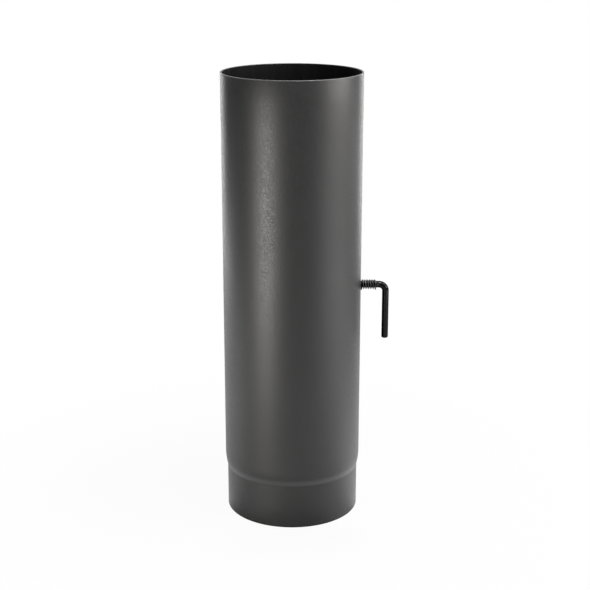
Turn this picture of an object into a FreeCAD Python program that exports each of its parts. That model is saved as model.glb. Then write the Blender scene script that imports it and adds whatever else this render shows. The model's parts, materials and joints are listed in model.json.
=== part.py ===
# Stove pipe with a spring-loaded throttle damper, standing on its spigot end.
# The pipe's axis is Z, its lower rim lies at z = 0, and the handle points along +X.
import FreeCAD, Part

import math
import os
import Sketcher

# Driving dimensions, in millimetres unless the note says turns or degrees.
DIMENSIONS = [
    # the pipe
    ("pipe_length", 500, "overall length, rim to rim"),
    ("bore_diameter", 150, "inside diameter of the pipe"),
    ("wall_thickness", 2, "sheet thickness of the pipe"),
    ("socket_depth", 50, "length of the calibrated socket at the top"),
    ("socket_expansion", 0.2, "radial growth of the calibrated socket"),
    ("socket_lead", 4, "length of the cone between pipe and socket"),
    ("spigot_length", 49, "straight length of the spigot, below the crease"),
    ("spigot_clearance", 0.5, "radial play of a spigot in a like socket"),
    ("crease_radius", 2, "outside bend radius where the spigot meets the shoulder"),
    ("shoulder_radius", 66, "outside radius of the rounded shoulder"),
    ("edge_break", 0.4, "chamfer on the pipe's rims"),
    # the spindle and its handle
    ("spindle_height", 263, "height of the spindle's axis"),
    ("rod_diameter", 7.5, "rod of the spindle and handle"),
    ("spindle_clearance", 0.3, "radial play of the spindle in the pipe's holes"),
    ("spindle_inset", 0.2, "depth of the far end below the pipe's outside"),
    ("bend_radius", 7.5, "bend of the handle, on its centre line"),
    ("handle_drop", 62.5, "tip of the handle below the spindle's axis"),
    ("tip_rounding", 1.2, "rounding of the handle's tip"),
    ("far_end_chamfer", 0.6, "chamfer on the rod's far end"),
    ("ear_length", 3.2, "pinched ears, along the rod"),
    ("ear_span", 10.2, "pinched ears, tip to tip"),
    ("ear_thickness", 3, "pinched ears, across their flat"),
    ("dent_radius", 1.6, "jaw marks above and below the ears"),
    ("dent_depth", 0.45, "depth of the jaw marks"),
    ("ear_gap", 0.1, "play between spring, ears and bend"),
    # the spring
    ("spring_wire", 1.5, "wire of the spring"),
    ("spring_clearance", 0.1, "radial play of the spring on the rod"),
    ("spring_seat_gap", 0.3, "play between the spring and the pipe"),
    ("spring_turns", 5.5, "turns of the spring, whole turns and a half"),
    ("coil_gap", 1.2, "air between turns of the spring"),
    ("foot_length", 7.7, "wire's straight end at the pipe, below the rod's axis"),
    ("foot_lean", 0.3, "how far that end leans towards the pipe"),
    ("tail_length", 4.8, "wire's straight end at the ears, below the rod's axis"),
    # the blade
    ("blade_thickness", 2, "sheet thickness of the blade"),
    ("blade_clearance", 2.5, "gap between the blade's rim and the bore"),
    ("bypass_height", 20, "height of the segment cut off the blade"),
    ("hub_gap", 0.3, "end play of the blade's loops between the pipe's walls"),
    ("loop_clearance", 0.15, "radial play of the rod in the loops"),
    ("loop_root", 1.6, "root radius where a loop rises from the sheet"),
    ("middle_loop", 50, "length of the middle loop"),
    ("loop_slit", 3, "slit between neighbouring loops"),
    # the split pin
    ("pin_diameter", 2.8, "shank of the split pin"),
    ("pin_clearance", 0.1, "radial play of the pin in its holes"),
    ("pin_eye", 2.2, "radius of the pin's eye, on its wire's centre line"),
    ("pin_leg", 5, "length of each spread leg"),
    ("pin_seat_gap", 0.1, "play between the pin and what it bears on"),
]
# The spring's wire is drawn as straight runs with flat sides and mitred joints.
STEPS_PER_TURN = 18
WIRE_SIDES = 8
MITRED = 1
# Two points nearer than this, in millimetres, are one.
TOUCH = 1e-4

# Lengths that several pieces share, as expressions on the sheet.
BORE = "(Sizes.bore_diameter / 2)"
OUTSIDE = f"({BORE} + Sizes.wall_thickness)"
SOCKET_START = "(Sizes.pipe_length - Sizes.socket_depth)"
SPIGOT = f"({BORE} + Sizes.socket_expansion - Sizes.spigot_clearance)"
ROD = "(Sizes.rod_diameter / 2)"
LOOP_BORE = f"({ROD} + Sizes.loop_clearance)"
LOOP_OUTSIDE = f"({LOOP_BORE} + Sizes.blade_thickness)"
ROOT_RISE = "(Sizes.blade_thickness / 2 + Sizes.loop_root)"
LOOP_FOOT = f"sqrt(({LOOP_OUTSIDE} + Sizes.loop_root)^2 - {ROOT_RISE}^2)"
LOOP_END = f"(sqrt({BORE}^2 - ({LOOP_OUTSIDE} + Sizes.loop_root)^2) - Sizes.hub_gap)"
OUTER_LOOP_START = "(Sizes.middle_loop / 2 + Sizes.loop_slit)"
BLADE = f"({BORE} - Sizes.blade_clearance)"
PIN_HOLE = "(Sizes.pin_diameter / 2 + Sizes.pin_clearance)"
PIN_WIRE = "(Sizes.pin_diameter / 4)"
COIL_PITCH = "(Sizes.spring_wire + Sizes.coil_gap)"
COIL_RADIUS = f"({ROD} + Sizes.spring_clearance + Sizes.spring_wire / 2)"
FOOT_START = f"({OUTSIDE} + Sizes.spring_seat_gap + Sizes.spring_wire / 2)"
COIL_START = f"({FOOT_START} + Sizes.foot_lean)"
COIL_END = f"({COIL_START} + Sizes.spring_turns * {COIL_PITCH})"
SPRING_END = f"({COIL_END} + Sizes.spring_wire / 2)"
EAR_CENTRE = f"({SPRING_END} + Sizes.ear_gap + Sizes.ear_length / 2)"
BEND_START = f"({EAR_CENTRE} + Sizes.ear_length / 2 + Sizes.ear_gap)"
HANDLE_REACH = f"({BEND_START} + Sizes.bend_radius)"
FAR_END = f"({OUTSIDE} - Sizes.spindle_inset)"

doc = FreeCAD.newDocument("stove_pipe_damper")
sheet = doc.addObject("Spreadsheet::Sheet", "Sizes")


def fill_sheet():
    """Writes every driving dimension to the sheet under its own alias."""
    for row, (name, value, note) in enumerate(DIMENSIONS, start=1):
        sheet.set(f"A{row}", name)
        sheet.set(f"B{row}", str(value))
        sheet.set(f"C{row}", note)
        sheet.setAlias(f"B{row}", name)
    doc.recompute()


def value_of(expression):
    """The present value of an expression on the sheet."""
    result = sheet.evalExpression(expression)
    return float(getattr(result, "Value", result))


def make_body(label, height=None):
    """A body named for its node, lifted to a height on the sheet if one is given."""
    body = doc.addObject("PartDesign::Body", label)
    body.Label = label
    if height:
        body.setExpression("Placement.Base.z", height)
    return body


def plane_of(body, role):
    """One of the body's own origin planes."""
    return next(feature for feature in body.Origin.OriginFeatures if feature.Role == role)


def make_sketch(body, name, role, offset=None):
    """A sketch on an origin plane of its body, moved along the plane's normal by an expression."""
    sketch = body.newObject("Sketcher::SketchObject", name)
    sketch.AttachmentSupport = [(plane_of(body, role), "")]
    sketch.MapMode = "FlatFace"
    if offset:
        sketch.setExpression("AttachmentOffset.Base.z", offset)
    return sketch


def bind(sketch, kind, places, name, expression):
    """Adds a named dimension to a sketch and ties it to the sheet."""
    index = sketch.addConstraint(Sketcher.Constraint(kind, *places, value_of(expression)))
    sketch.renameConstraint(index, name)
    sketch.setExpression(f"Constraints.{name}", expression)


def relate(sketch, kind, *places):
    """Adds a relation without a dimension, such as Tangent or Vertical."""
    sketch.addConstraint(Sketcher.Constraint(kind, *places))


def line(sketch, start, end):
    """A straight edge between two points of the sketch's plane."""
    ends = [FreeCAD.Vector(*point, 0) for point in (start, end)]
    return sketch.addGeometry(Part.LineSegment(*ends), False)


def arc(sketch, centre, radius, first, last):
    """A circular edge from its first angle to its last, in radians."""
    curve = Part.Circle(FreeCAD.Vector(*centre, 0), FreeCAD.Vector(0, 0, 1), radius)
    return sketch.addGeometry(Part.ArcOfCircle(curve, first, last), False)


def circle(sketch, name, radius, across=None, up=None):
    """A circle tied to the sheet, on the sketch's origin or at a stated place on or off its axes."""
    place = (value_of(across) if across else 0, value_of(up) if up else 0, 0)
    curve = Part.Circle(FreeCAD.Vector(*place), FreeCAD.Vector(0, 0, 1), value_of(radius))
    index = sketch.addGeometry(curve, False)
    if across:
        bind(sketch, "DistanceX", (-1, 1, index, 3), name + "_across", across)
    else:
        relate(sketch, "PointOnObject", index, 3, -2)
    if up:
        bind(sketch, "DistanceY", (-1, 1, index, 3), name + "_up", up)
    else:
        relate(sketch, "PointOnObject", index, 3, -1)
    bind(sketch, "Radius", (index,), name + "_radius", radius)
    return index


def pad(body, name, sketch, length, symmetric=False):
    """Thickens a sketch along its normal, or to both sides of its plane."""
    feature = body.newObject("PartDesign::Pad", name)
    feature.Profile = sketch
    feature.SideType = "Symmetric" if symmetric else "One side"
    feature.setExpression("Length", length)
    return feature


def cut_through(body, name, sketch):
    """Cuts a sketch through the whole body, to both sides of its plane."""
    feature = body.newObject("PartDesign::Pocket", name)
    feature.Profile = sketch
    feature.Type = "ThroughAll"
    feature.SideType = "Symmetric"
    return feature


def round_edges(base, centres):
    """The names of a feature's circular edges whose centres are listed."""
    doc.recompute()
    found = []
    for number, edge in enumerate(base.Shape.Edges, start=1):
        if isinstance(edge.Curve, Part.Circle):
            if any(edge.Curve.Center.isEqual(centre, TOUCH) for centre in centres):
                found.append(f"Edge{number}")
    return found


def dress_edges(body, kind, name, base, centres, size_name, size):
    """A fillet or chamfer on the circular edges round the listed centres."""
    feature = body.newObject("PartDesign::" + kind, name)
    feature.Base = (base, round_edges(base, centres))
    feature.setExpression(size_name, size)
    return feature


def wall_section(body, name, inset):
    """Half section of the pipe's outside, or of its inside when inset by the wall."""
    spigot = f"({SPIGOT} - {inset})"
    main = f"({OUTSIDE} - {inset})"
    socket = f"({main} + Sizes.socket_expansion)"
    crease = f"(Sizes.crease_radius + {inset})"
    shoulder = f"(Sizes.shoulder_radius - {inset})"
    low, mid, top = value_of(spigot), value_of(main), value_of(socket)
    small, large = value_of(crease), value_of(shoulder)
    turn = math.acos(1 - (mid - low) / (small + large))
    crease_z = value_of("Sizes.spigot_length")
    shoulder_z = crease_z + (small + large) * math.sin(turn)
    lead_z = value_of(f"{SOCKET_START} - Sizes.socket_lead")
    socket_z = value_of(SOCKET_START)
    length = value_of("Sizes.pipe_length")

    sketch = make_sketch(body, name, "XZ_Plane")
    foot = line(sketch, (0, 0), (low, 0))
    spigot_wall = line(sketch, (low, 0), (low, crease_z))
    crease_arc = arc(sketch, (low + small, crease_z), small, math.pi - turn, math.pi)
    shoulder_arc = arc(sketch, (mid - large, shoulder_z), large, -turn, 0)
    main_wall = line(sketch, (mid, shoulder_z), (mid, lead_z))
    lead = line(sketch, (mid, lead_z), (top, socket_z))
    socket_wall = line(sketch, (top, socket_z), (top, length))
    lid = line(sketch, (top, length), (0, length))
    axis = line(sketch, (0, length), (0, 0))

    relate(sketch, "Coincident", foot, 1, -1, 1)
    relate(sketch, "Horizontal", foot)
    relate(sketch, "Coincident", foot, 2, spigot_wall, 1)
    relate(sketch, "Vertical", spigot_wall)
    relate(sketch, "Tangent", spigot_wall, 2, crease_arc, 2)
    relate(sketch, "Tangent", crease_arc, 1, shoulder_arc, 1)
    relate(sketch, "Tangent", shoulder_arc, 2, main_wall, 1)
    relate(sketch, "Vertical", main_wall)
    relate(sketch, "Coincident", main_wall, 2, lead, 1)
    relate(sketch, "Coincident", lead, 2, socket_wall, 1)
    relate(sketch, "Vertical", socket_wall)
    relate(sketch, "Coincident", socket_wall, 2, lid, 1)
    relate(sketch, "Horizontal", lid)
    relate(sketch, "Coincident", lid, 2, axis, 1)
    relate(sketch, "Coincident", axis, 2, foot, 1)
    relate(sketch, "Vertical", axis)
    bind(sketch, "DistanceX", (-1, 1, foot, 2), "spigot_radius", spigot)
    bind(sketch, "DistanceX", (-1, 1, main_wall, 2), "main_radius", main)
    bind(sketch, "DistanceX", (-1, 1, lid, 1), "socket_radius", socket)
    bind(sketch, "Radius", (crease_arc,), "crease_bend", crease)
    bind(sketch, "Radius", (shoulder_arc,), "shoulder_bend", shoulder)
    bind(sketch, "DistanceY", (-1, 1, spigot_wall, 2), "crease_height", "Sizes.spigot_length")
    bind(sketch, "DistanceY", (-1, 1, lead, 1), "lead_height", f"{SOCKET_START} - Sizes.socket_lead")
    bind(sketch, "DistanceY", (-1, 1, lead, 2), "socket_height", SOCKET_START)
    bind(sketch, "DistanceY", (-1, 1, lid, 1), "rim_height", "Sizes.pipe_length")
    return sketch


def make_pipe():
    """The tube: its outside turned, its inside turned out of it, rims broken and spindle holes cut."""
    body = make_body("pipe_body")
    outside = body.newObject("PartDesign::Revolution", "outside")
    outside.Profile = wall_section(body, "outside_section", "0")
    outside.ReferenceAxis = (outside.Profile[0], ["V_Axis"])
    inside = body.newObject("PartDesign::Groove", "inside")
    inside.Profile = wall_section(body, "inside_section", "Sizes.wall_thickness")
    inside.ReferenceAxis = (inside.Profile[0], ["V_Axis"])
    rims = [FreeCAD.Vector(0, 0, 0), FreeCAD.Vector(0, 0, value_of("Sizes.pipe_length"))]
    dress_edges(body, "Chamfer", "broken_rims", inside, rims, "Size", "Sizes.edge_break")
    hole = make_sketch(body, "spindle_hole", "YZ_Plane")
    circle(hole, "hole", f"{ROD} + Sizes.spindle_clearance", up="Sizes.spindle_height")
    cut_through(body, "spindle_holes", hole)
    return body


def loop_section(body, name, offset, turned):
    """Section of one unbored loop: a half round on a flared foot, turned to the far side if asked."""
    sketch = make_sketch(body, name, "YZ_Plane")
    if turned:
        half_turn = FreeCAD.Rotation(FreeCAD.Vector(0, 0, 1), 180)
        sketch.AttachmentOffset = FreeCAD.Placement(FreeCAD.Vector(), half_turn)
    sketch.setExpression("AttachmentOffset.Base.z", offset)
    radius, root = value_of(LOOP_OUTSIDE), value_of("Sizes.loop_root")
    rise, foot = value_of(ROOT_RISE), value_of(LOOP_FOOT)
    face = rise - root
    swing = math.atan2(foot, rise)

    crown = arc(sketch, (0, 0), radius, -swing, swing)
    lower_root = arc(sketch, (rise, -foot), root, math.pi - swing, math.pi)
    upper_root = arc(sketch, (rise, foot), root, math.pi, math.pi + swing)
    lower_step = line(sketch, (face, -foot), (0, -foot))
    base = line(sketch, (0, -foot), (0, foot))
    upper_step = line(sketch, (0, foot), (face, foot))

    relate(sketch, "Coincident", crown, 3, -1, 1)
    relate(sketch, "Tangent", crown, 1, lower_root, 1)
    relate(sketch, "Tangent", crown, 2, upper_root, 2)
    relate(sketch, "Coincident", lower_root, 2, lower_step, 1)
    relate(sketch, "Horizontal", lower_step)
    relate(sketch, "Coincident", lower_step, 2, base, 1)
    relate(sketch, "Vertical", base)
    relate(sketch, "PointOnObject", base, 1, -2)
    relate(sketch, "Coincident", base, 2, upper_step, 1)
    relate(sketch, "Horizontal", upper_step)
    relate(sketch, "Coincident", upper_step, 2, upper_root, 1)
    for root_arc, side in ((lower_root, "lower"), (upper_root, "upper")):
        bind(sketch, "Radius", (root_arc,), side + "_bend", "Sizes.loop_root")
        bind(sketch, "DistanceX", (-1, 1, root_arc, 3), side + "_rise", ROOT_RISE)
    relate(sketch, "Horizontal", lower_root, 3, lower_root, 2)
    relate(sketch, "Horizontal", upper_root, 3, upper_root, 1)
    bind(sketch, "Radius", (crown,), "crown_radius", LOOP_OUTSIDE)
    return sketch


def blade_outline(body):
    """A disc with one segment cut off along a straight edge above the spindle."""
    sketch = make_sketch(body, "blade_outline", "XZ_Plane")
    radius = value_of(BLADE)
    chord = value_of(f"{BLADE} - Sizes.bypass_height")
    lift = math.asin(chord / radius)
    half = radius * math.cos(lift)
    rim = arc(sketch, (0, 0), radius, math.pi - lift, 2 * math.pi + lift)
    edge = line(sketch, (half, chord), (-half, chord))
    relate(sketch, "Coincident", rim, 3, -1, 1)
    relate(sketch, "Coincident", rim, 2, edge, 1)
    relate(sketch, "Coincident", edge, 2, rim, 1)
    relate(sketch, "Horizontal", edge)
    bind(sketch, "Radius", (rim,), "blade_radius", BLADE)
    bind(sketch, "DistanceY", (-1, 1, edge, 1), "bypass_edge", f"{BLADE} - Sizes.bypass_height")
    return sketch


def slit_outline(body):
    """The slit that parts the middle loop from the outer loop on the handle's side."""
    sketch = make_sketch(body, "slit_outline", "XZ_Plane")
    near, far = value_of("Sizes.middle_loop / 2"), value_of(OUTER_LOOP_START)
    reach = value_of(LOOP_FOOT)
    left = line(sketch, (near, -reach), (near, reach))
    top = line(sketch, (near, reach), (far, reach))
    right = line(sketch, (far, reach), (far, -reach))
    bottom = line(sketch, (far, -reach), (near, -reach))
    for first, second in ((left, top), (top, right), (right, bottom), (bottom, left)):
        relate(sketch, "Coincident", first, 2, second, 1)
    relate(sketch, "Symmetric", left, 1, left, 2, -1)
    relate(sketch, "Vertical", right)
    relate(sketch, "Horizontal", top)
    relate(sketch, "Horizontal", bottom)
    bind(sketch, "DistanceX", (-1, 1, left, 1), "slit_near", "Sizes.middle_loop / 2")
    bind(sketch, "DistanceX", (-1, 1, right, 1), "slit_far", OUTER_LOOP_START)
    bind(sketch, "DistanceY", (-1, 1, top, 1), "slit_reach", LOOP_FOOT)
    return sketch


def make_blade():
    """The throttle disc, upright at rest, with its loops pressed to either side of the sheet."""
    body = make_body("damper_blade", "Sizes.spindle_height")
    pad(body, "sheet", blade_outline(body), "Sizes.blade_thickness", symmetric=True)
    middle = loop_section(body, "middle_loop_section", "-Sizes.middle_loop / 2", turned=True)
    pad(body, "middle_loop", middle, "Sizes.middle_loop")
    outer = loop_section(body, "outer_loop_section", OUTER_LOOP_START, turned=False)
    outer_loop = pad(body, "outer_loop", outer, f"{LOOP_END} - {OUTER_LOOP_START}")
    slit = cut_through(body, "slit", slit_outline(body))
    mirrored = body.newObject("PartDesign::Mirrored", "far_loop_and_slit")
    mirrored.Originals = [outer_loop, slit]
    mirrored.MirrorPlane = (plane_of(body, "YZ_Plane"), [""])
    body.Tip = mirrored
    bore = make_sketch(body, "loop_bore_section", "YZ_Plane")
    circle(bore, "loop_bore", LOOP_BORE)
    cut_through(body, "loop_bore", bore)
    hole = make_sketch(body, "blade_pin_section", "XZ_Plane")
    circle(hole, "pin_hole", PIN_HOLE)
    cut_through(body, "blade_pin_hole", hole)
    return body


def rod_path(body):
    """Centre line of the rod: across the pipe, out to the bend and down to the tip."""
    sketch = make_sketch(body, "rod_path", "XZ_Plane")
    far, start, reach = value_of(FAR_END), value_of(BEND_START), value_of(HANDLE_REACH)
    bend, drop = value_of("Sizes.bend_radius"), value_of("Sizes.handle_drop")
    spindle = line(sketch, (-far, 0), (start, 0))
    turn = arc(sketch, (start, -bend), bend, 0, math.pi / 2)
    leg = line(sketch, (reach, -bend), (reach, -drop))
    relate(sketch, "PointOnObject", spindle, 1, -1)
    relate(sketch, "Horizontal", spindle)
    relate(sketch, "Tangent", spindle, 2, turn, 2)
    relate(sketch, "Tangent", turn, 1, leg, 1)
    relate(sketch, "Vertical", leg)
    bind(sketch, "DistanceX", (spindle, 1, -1, 1), "far_end", FAR_END)
    bind(sketch, "DistanceX", (-1, 1, spindle, 2), "bend_start", BEND_START)
    bind(sketch, "Radius", (turn,), "bend", "Sizes.bend_radius")
    bind(sketch, "DistanceY", (leg, 2, -1, 1), "drop", "Sizes.handle_drop")
    return sketch


def pinch_ears(body):
    """Ears squeezed out of the rod to its front and back, and the jaw marks above and below them."""
    ears = body.newObject("PartDesign::AdditiveEllipsoid", "ears")
    ears.setExpression("Radius1", "Sizes.ear_thickness / 2")
    ears.setExpression("Radius2", "Sizes.ear_length / 2")
    ears.setExpression("Radius3", "Sizes.ear_span / 2")
    ears.setExpression("Placement.Base.x", EAR_CENTRE)
    marks = make_sketch(body, "jaw_marks_section", "XZ_Plane")
    height = f"{ROD} + Sizes.dent_radius - Sizes.dent_depth"
    upper = circle(marks, "jaw_mark", "Sizes.dent_radius", across=EAR_CENTRE, up=height)
    centre = FreeCAD.Vector(value_of(EAR_CENTRE), -value_of(height), 0)
    curve = Part.Circle(centre, FreeCAD.Vector(0, 0, 1), value_of("Sizes.dent_radius"))
    lower = marks.addGeometry(curve, False)
    relate(marks, "Equal", upper, lower)
    relate(marks, "Symmetric", upper, 3, lower, 3, -1)
    cut_through(body, "jaw_marks", marks)


def make_spindle():
    """The rod that carries the blade and the spring and is bent down into the handle."""
    body = make_body("damper_spindle", "Sizes.spindle_height")
    section = make_sketch(body, "rod_section", "YZ_Plane", offset=f"-{FAR_END}")
    circle(section, "rod", ROD)
    path = rod_path(body)
    rod = body.newObject("PartDesign::AdditivePipe", "rod")
    rod.Profile = section
    rod.Spine = (path, ["Edge1", "Edge2", "Edge3"])
    tip = FreeCAD.Vector(value_of(HANDLE_REACH), 0, -value_of("Sizes.handle_drop"))
    rounded = dress_edges(body, "Fillet", "rounded_tip", rod, [tip], "Radius", "Sizes.tip_rounding")
    far_end = FreeCAD.Vector(-value_of(FAR_END), 0, 0)
    dress_edges(body, "Chamfer", "far_end", rounded, [far_end], "Size", "Sizes.far_end_chamfer")
    pinch_ears(body)
    hole = make_sketch(body, "spindle_pin_section", "XZ_Plane")
    circle(hole, "pin_hole", PIN_HOLE)
    cut_through(body, "spindle_pin_hole", hole)
    return body


def coil_point(turns):
    """A point on the centre line of the spring's wire, a number of turns from its start behind the rod."""
    along = value_of(COIL_START) + turns * value_of(COIL_PITCH)
    radius, angle = value_of(COIL_RADIUS), 2 * math.pi * turns
    return FreeCAD.Vector(along, radius * math.cos(angle), radius * math.sin(angle))


def wire_section(start, heading):
    """The spring wire's section as a many-sided outline square to its first run."""
    edge_on = FreeCAD.Rotation(FreeCAD.Vector(0, 0, 1), heading)
    angles = [2 * math.pi * side / WIRE_SIDES for side in range(WIRE_SIDES + 1)]
    spokes = [FreeCAD.Vector(math.cos(angle), math.sin(angle), 0) for angle in angles]
    radius = sheet.spring_wire / 2
    return Part.makePolygon([start + edge_on.multVec(spoke) * radius for spoke in spokes])


def make_spring():
    """The right-hand spring: its wire comes up straight behind the rod and ends straight down before it."""
    steps = round(sheet.spring_turns * STEPS_PER_TURN)
    coil = [coil_point(sheet.spring_turns * step / steps) for step in range(steps + 1)]
    foot = FreeCAD.Vector(value_of(FOOT_START), coil[0].y, -sheet.foot_length)
    tail = FreeCAD.Vector(coil[-1].x, coil[-1].y, -sheet.tail_length)
    points = [foot, *coil, tail]
    section = wire_section(points[0], points[1] - points[0])
    spring = doc.addObject("Part::Feature", "handle_spring")
    spring.Label = "handle_spring"
    spring.Shape = Part.makePolygon(points).makePipeShell([section], True, False, MITRED)
    spring.setExpression("Placement.Base.z", "Sizes.spindle_height")
    return spring


def make_split_pin():
    """The split pin through the middle loop and the rod: shank, eye and two spread legs."""
    along_y = FreeCAD.Rotation(FreeCAD.Vector(1, 0, 0), -90)
    along_x = FreeCAD.Rotation(FreeCAD.Vector(0, 1, 0), 90)
    eye_centre = f"({LOOP_OUTSIDE} + Sizes.pin_seat_gap + Sizes.pin_eye + {PIN_WIRE})"
    leg_place = f"({ROD} + Sizes.pin_seat_gap + {PIN_WIRE})"

    shank = doc.addObject("Part::Cylinder", "pin_shank")
    shank.Placement.Rotation = along_y
    shank.setExpression("Radius", "Sizes.pin_diameter / 2")
    shank.setExpression("Height", f"{eye_centre} - Sizes.pin_eye + {leg_place} + {PIN_WIRE}")
    shank.setExpression("Placement.Base.y", f"-({eye_centre} - Sizes.pin_eye)")
    rings = []
    for name, side in (("eye_outside", "+"), ("eye_inside", "-")):
        ring = doc.addObject("Part::Cylinder", name)
        ring.Placement.Rotation = along_x
        ring.setExpression("Radius", f"Sizes.pin_eye {side} {PIN_WIRE}")
        ring.setExpression("Height", f"2 * {PIN_WIRE}")
        ring.setExpression("Placement.Base.x", f"-{PIN_WIRE}")
        ring.setExpression("Placement.Base.y", f"-{eye_centre}")
        rings.append(ring)
    eye = doc.addObject("Part::Cut", "pin_eye")
    eye.Base, eye.Tool = rings
    legs = doc.addObject("Part::Cylinder", "pin_legs")
    legs.Placement.Rotation = along_x
    legs.setExpression("Radius", PIN_WIRE)
    legs.setExpression("Height", "2 * Sizes.pin_leg")
    legs.setExpression("Placement.Base.x", "-Sizes.pin_leg")
    legs.setExpression("Placement.Base.y", leg_place)

    pin = doc.addObject("Part::MultiFuse", "blade_split_pin")
    pin.Label = "blade_split_pin"
    pin.Shapes = [shank, eye, legs]
    pin.setExpression("Placement.Base.z", "Sizes.spindle_height")
    return pin


def check(pieces):
    """Stops if any object of the document failed or any piece is not one sound solid."""
    for item in doc.Objects:
        if "Invalid" in item.State or "Error" in item.State:
            raise RuntimeError(f"{item.Label} failed: {item.State}")
    for piece in pieces:
        shape = piece.Shape
        if shape.isNull() or not shape.isValid() or len(shape.Solids) != 1:
            raise RuntimeError(f"{piece.Label} is not one sound solid")


def main():
    """Builds every piece, checks it and writes it to its own file."""
    fill_sheet()
    pieces = [make_pipe(), make_blade(), make_spindle(), make_spring(), make_split_pin()]
    doc.recompute()
    check(pieces)
    os.makedirs("parts", exist_ok=True)
    for piece in pieces:
        piece.Shape.exportStep(os.path.join("parts", piece.Label + ".step"))


main()
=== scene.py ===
"""Stove pipe with a throttle damper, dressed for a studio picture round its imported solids."""
import json
import math

import bmesh
import bpy
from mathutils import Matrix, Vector


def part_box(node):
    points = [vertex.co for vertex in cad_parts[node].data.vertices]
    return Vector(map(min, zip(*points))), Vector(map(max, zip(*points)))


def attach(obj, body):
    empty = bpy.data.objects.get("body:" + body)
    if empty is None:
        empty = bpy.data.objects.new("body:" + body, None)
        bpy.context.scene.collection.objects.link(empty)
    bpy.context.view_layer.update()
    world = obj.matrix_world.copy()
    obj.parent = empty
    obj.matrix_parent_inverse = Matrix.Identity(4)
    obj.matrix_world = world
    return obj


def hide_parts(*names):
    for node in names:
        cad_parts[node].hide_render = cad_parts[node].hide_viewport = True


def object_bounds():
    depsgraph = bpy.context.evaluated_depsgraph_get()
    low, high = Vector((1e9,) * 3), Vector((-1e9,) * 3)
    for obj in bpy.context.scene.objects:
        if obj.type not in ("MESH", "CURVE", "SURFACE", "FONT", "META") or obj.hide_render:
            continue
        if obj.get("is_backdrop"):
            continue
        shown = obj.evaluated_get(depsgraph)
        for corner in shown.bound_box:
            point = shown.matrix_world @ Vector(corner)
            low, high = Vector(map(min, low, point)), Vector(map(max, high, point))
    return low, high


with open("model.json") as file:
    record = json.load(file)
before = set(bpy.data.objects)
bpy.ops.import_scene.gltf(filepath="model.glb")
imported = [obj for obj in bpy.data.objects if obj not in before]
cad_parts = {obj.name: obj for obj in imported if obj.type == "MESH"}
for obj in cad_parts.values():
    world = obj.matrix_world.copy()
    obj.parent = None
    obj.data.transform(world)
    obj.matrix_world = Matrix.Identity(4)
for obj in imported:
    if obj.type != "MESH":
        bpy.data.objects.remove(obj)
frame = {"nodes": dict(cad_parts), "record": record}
CAD_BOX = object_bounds()
PIPE_LOW, PIPE_HIGH = (Vector(corner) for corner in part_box("pipe_body"))
ROD_LOW, ROD_HIGH = (Vector(corner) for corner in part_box("damper_spindle"))
TURN_AXIS = Vector(frame["record"]["behaviour"]["joints"][0]["pos_m"])

bl_info = {
    "name": "Stove Pipe Damper",
    "version": (1, 0, 0),
    "blender": (4, 5, 0),
    "location": "View3D > Sidebar > Stove Pipe",
    "description": "Builds a painted stove pipe with a spring-loaded throttle handle",
    "category": "Object",
}

MM = 0.001
QUARTER = math.pi / 2
FULL = 2 * math.pi
UP, BACK, OUT = Vector((0, 0, 1)), Vector((0, 1, 0)), Vector((1, 0, 0))
BLACK = (0.0, 0.0, 0.0, 1.0)
WHITE = (1.0, 1.0, 1.0, 1.0)
FRAME_PIXELS = 590
SENSOR_WIDTH = 36.0


# Settings that a user would change

def length(name, description, millimetres):
    """A length property whose default is given in millimetres."""
    return bpy.props.FloatProperty(
        name=name, description=description, default=millimetres * MM, min=0.0,
        unit="LENGTH", precision=5,
    )


def colour(name, description, value):
    """A linear colour property."""
    return bpy.props.FloatVectorProperty(
        name=name, description=description, default=value, min=0.0, max=1.0,
        size=3, subtype="COLOR",
    )


def share(name, description, value):
    """A property from 0 to 1."""
    return bpy.props.FloatProperty(
        name=name, description=description, default=value, min=0.0, max=1.0, subtype="FACTOR",
    )


def angle(name, description, degrees):
    """An angle property whose default is given in degrees."""
    return bpy.props.FloatProperty(
        name=name, description=description, default=math.radians(degrees), subtype="ANGLE",
    )


def watts(name, description, value):
    """A lamp's power."""
    return bpy.props.FloatProperty(
        name=name, description=description, default=value, min=0.0, unit="POWER",
    )


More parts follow.
